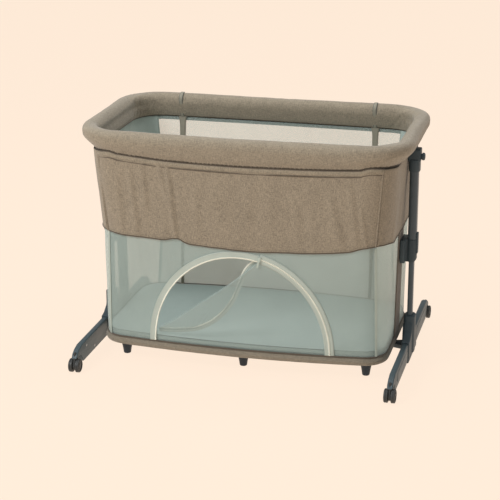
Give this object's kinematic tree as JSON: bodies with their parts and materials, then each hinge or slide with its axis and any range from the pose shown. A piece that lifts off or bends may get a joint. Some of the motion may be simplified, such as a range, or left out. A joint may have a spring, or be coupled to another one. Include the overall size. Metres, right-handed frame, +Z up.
{
  "type": "bassinet on stand",
  "caption": "Fabric bedside bassinet with a padded oval rim, mesh walls and a zipped arch door, carried between height-adjustable post stands on twin-wheel casters.",
  "frame": {"origin": "on the floor, under the centre of the bassinet", "axes": "+X along the basket's length, +Y from the door side to the back, +Z up"},
  "size_m": [0.979, 0.73, 0.704],
  "materials": {
    "brown_fabric": "matte woven melange",
    "mesh_fabric": "see-through knitted mesh",
    "pale_tape": "off-white woven zip tape with plastic teeth",
    "mat_fabric": "soft matte knit",
    "board": "pressed board, hidden under the mattress",
    "grey_tube": "satin slate grey powder coat",
    "grey_plastic": "satin slate grey moulding",
    "dark_plastic": "near-black moulding",
    "wheel_plastic": "dark grey moulding",
    "steel": "plain steel pin"
  },
  "bodies": {
    "left_stand": {"inner_post_left": "grey_tube", "hub_left": "grey_plastic", "leg_front_left": "grey_plastic", "leg_back_left": "grey_plastic"},
    "basket": {"back_mesh_wall": "mesh_fabric", "back_strap_left": "brown_fabric", "back_strap_right": "brown_fabric", "base_band": "brown_fabric", "base_frame_tube": "grey_tube", "collar_left": "grey_plastic", "collar_right": "grey_plastic", "door_flap": "mesh_fabric", "door_panel": "mesh_fabric", "door_zip_slider": "pale_tape", "door_zip_tape": "pale_tape", "floor_board": "board", "foot_back_left": "dark_plastic", "foot_back_middle": "dark_plastic", "foot_back_right": "dark_plastic", "foot_front_left": "dark_plastic", "foot_front_middle": "dark_plastic", "foot_front_right": "dark_plastic", "front_mesh_wall": "mesh_fabric", "front_skirt": "brown_fabric", "left_end_strip": "brown_fabric", "left_mesh_wall": "mesh_fabric", "left_skirt": "brown_fabric", "mattress": "mat_fabric", "outer_post_left": "grey_tube", "outer_post_right": "grey_tube", "right_end_strip": "brown_fabric", "right_mesh_wall": "mesh_fabric", "right_skirt": "brown_fabric", "rim_frame_tube": "grey_tube", "rim_padding": "brown_fabric", "top_bracket_left": "grey_plastic", "top_bracket_right": "grey_plastic"},
    "right_stand": {"inner_post_right": "grey_tube", "hub_right": "grey_plastic", "leg_front_right": "grey_plastic", "leg_back_right": "grey_plastic"},
    "lever_right": {"release_lever_right": "grey_plastic"},
    "latch_right": {"latch_pin_right": "steel"},
    "knob_right": {"top_knob_right": "grey_plastic"},
    "lever_left": {"release_lever_left": "grey_plastic"},
    "latch_left": {"latch_pin_left": "steel"},
    "knob_left": {"top_knob_left": "grey_plastic"},
    "caster_front_right": {"caster_body_front_right": "wheel_plastic"},
    "wheels_front_right": {"wheel_outer_front_right": "wheel_plastic", "wheel_inner_front_right": "wheel_plastic"},
    "caster_front_left": {"caster_body_front_left": "wheel_plastic"},
    "wheels_front_left": {"wheel_outer_front_left": "wheel_plastic", "wheel_inner_front_left": "wheel_plastic"},
    "caster_back_right": {"caster_body_back_right": "wheel_plastic"},
    "wheels_back_right": {"wheel_outer_back_right": "wheel_plastic", "wheel_inner_back_right": "wheel_plastic"},
    "caster_back_left": {"caster_body_back_left": "wheel_plastic"},
    "wheels_back_left": {"wheel_outer_back_left": "wheel_plastic", "wheel_inner_back_left": "wheel_plastic"}
  },
  "joints": [
    {"name": "basket_height", "type": "slide", "parent": "left_stand", "child": "basket", "axis": [0, 0, 1], "range_m": [0, 0.15]},
    {"name": "right_stand_slide", "type": "slide", "parent": "basket", "child": "right_stand", "axis": [0, 0, -1], "range_m": [0, 0.15]},
    {"name": "lever_right_pull", "type": "hinge", "parent": "basket", "child": "lever_right", "pos_m": [0.4725, 0, 0.327], "axis": [0, 1, 0], "range_deg": [0, 14], "stiffness_Nm_per_rad": 0.3, "springref_deg": -8.59},
    {"name": "latch_right_draw", "type": "slide", "parent": "basket", "child": "latch_right", "axis": [1, 0, 0], "range_m": [0, 0.004]},
    {"name": "knob_right_press", "type": "slide", "parent": "basket", "child": "knob_right", "axis": [-1, 0, 0], "range_m": [0, 0.003], "stiffness_N_per_m": 400, "springref_m": -0.002},
    {"name": "lever_left_pull", "type": "hinge", "parent": "basket", "child": "lever_left", "pos_m": [-0.4725, 0, 0.327], "axis": [0, -1, 0], "range_deg": [0, 14], "stiffness_Nm_per_rad": 0.3, "springref_deg": -8.59},
    {"name": "latch_left_draw", "type": "slide", "parent": "basket", "child": "latch_left", "axis": [-1, 0, 0], "range_m": [0, 0.004]},
    {"name": "knob_left_press", "type": "slide", "parent": "basket", "child": "knob_left", "axis": [1, 0, 0], "range_m": [0, 0.003], "stiffness_N_per_m": 400, "springref_m": -0.002},
    {"name": "caster_front_right_swivel", "type": "hinge", "parent": "right_stand", "child": "caster_front_right", "pos_m": [0.46, -0.345, 0.04], "axis": [0, 0, 1], "continuous": true},
    {"name": "wheels_front_right_spin", "type": "hinge", "parent": "caster_front_right", "child": "wheels_front_right", "pos_m": [0.46, -0.345, 0.02], "axis": [1, 0, 0], "continuous": true},
    {"name": "caster_front_left_swivel", "type": "hinge", "parent": "left_stand", "child": "caster_front_left", "pos_m": [-0.46, -0.345, 0.04], "axis": [0, 0, 1], "continuous": true},
    {"name": "wheels_front_left_spin", "type": "hinge", "parent": "caster_front_left", "child": "wheels_front_left", "pos_m": [-0.46, -0.345, 0.02], "axis": [1, 0, 0], "continuous": true},
    {"name": "caster_back_right_swivel", "type": "hinge", "parent": "right_stand", "child": "caster_back_right", "pos_m": [0.46, 0.345, 0.04], "axis": [0, 0, 1], "continuous": true},
    {"name": "wheels_back_right_spin", "type": "hinge", "parent": "caster_back_right", "child": "wheels_back_right", "pos_m": [0.46, 0.345, 0.02], "axis": [1, 0, 0], "continuous": true},
    {"name": "caster_back_left_swivel", "type": "hinge", "parent": "left_stand", "child": "caster_back_left", "pos_m": [-0.46, 0.345, 0.04], "axis": [0, 0, 1], "continuous": true},
    {"name": "wheels_back_left_spin", "type": "hinge", "parent": "caster_back_left", "child": "wheels_back_left", "pos_m": [-0.46, 0.345, 0.02], "axis": [1, 0, 0], "continuous": true}
  ],
  "couplings": [
    {"joint": "right_stand_slide", "follows": "basket_height", "ratio": 1},
    {"joint": "latch_right_draw", "follows": "lever_right_pull", "m_per_rad": 0.0159},
    {"joint": "latch_left_draw", "follows": "lever_left_pull", "m_per_rad": 0.0159}
  ]
}
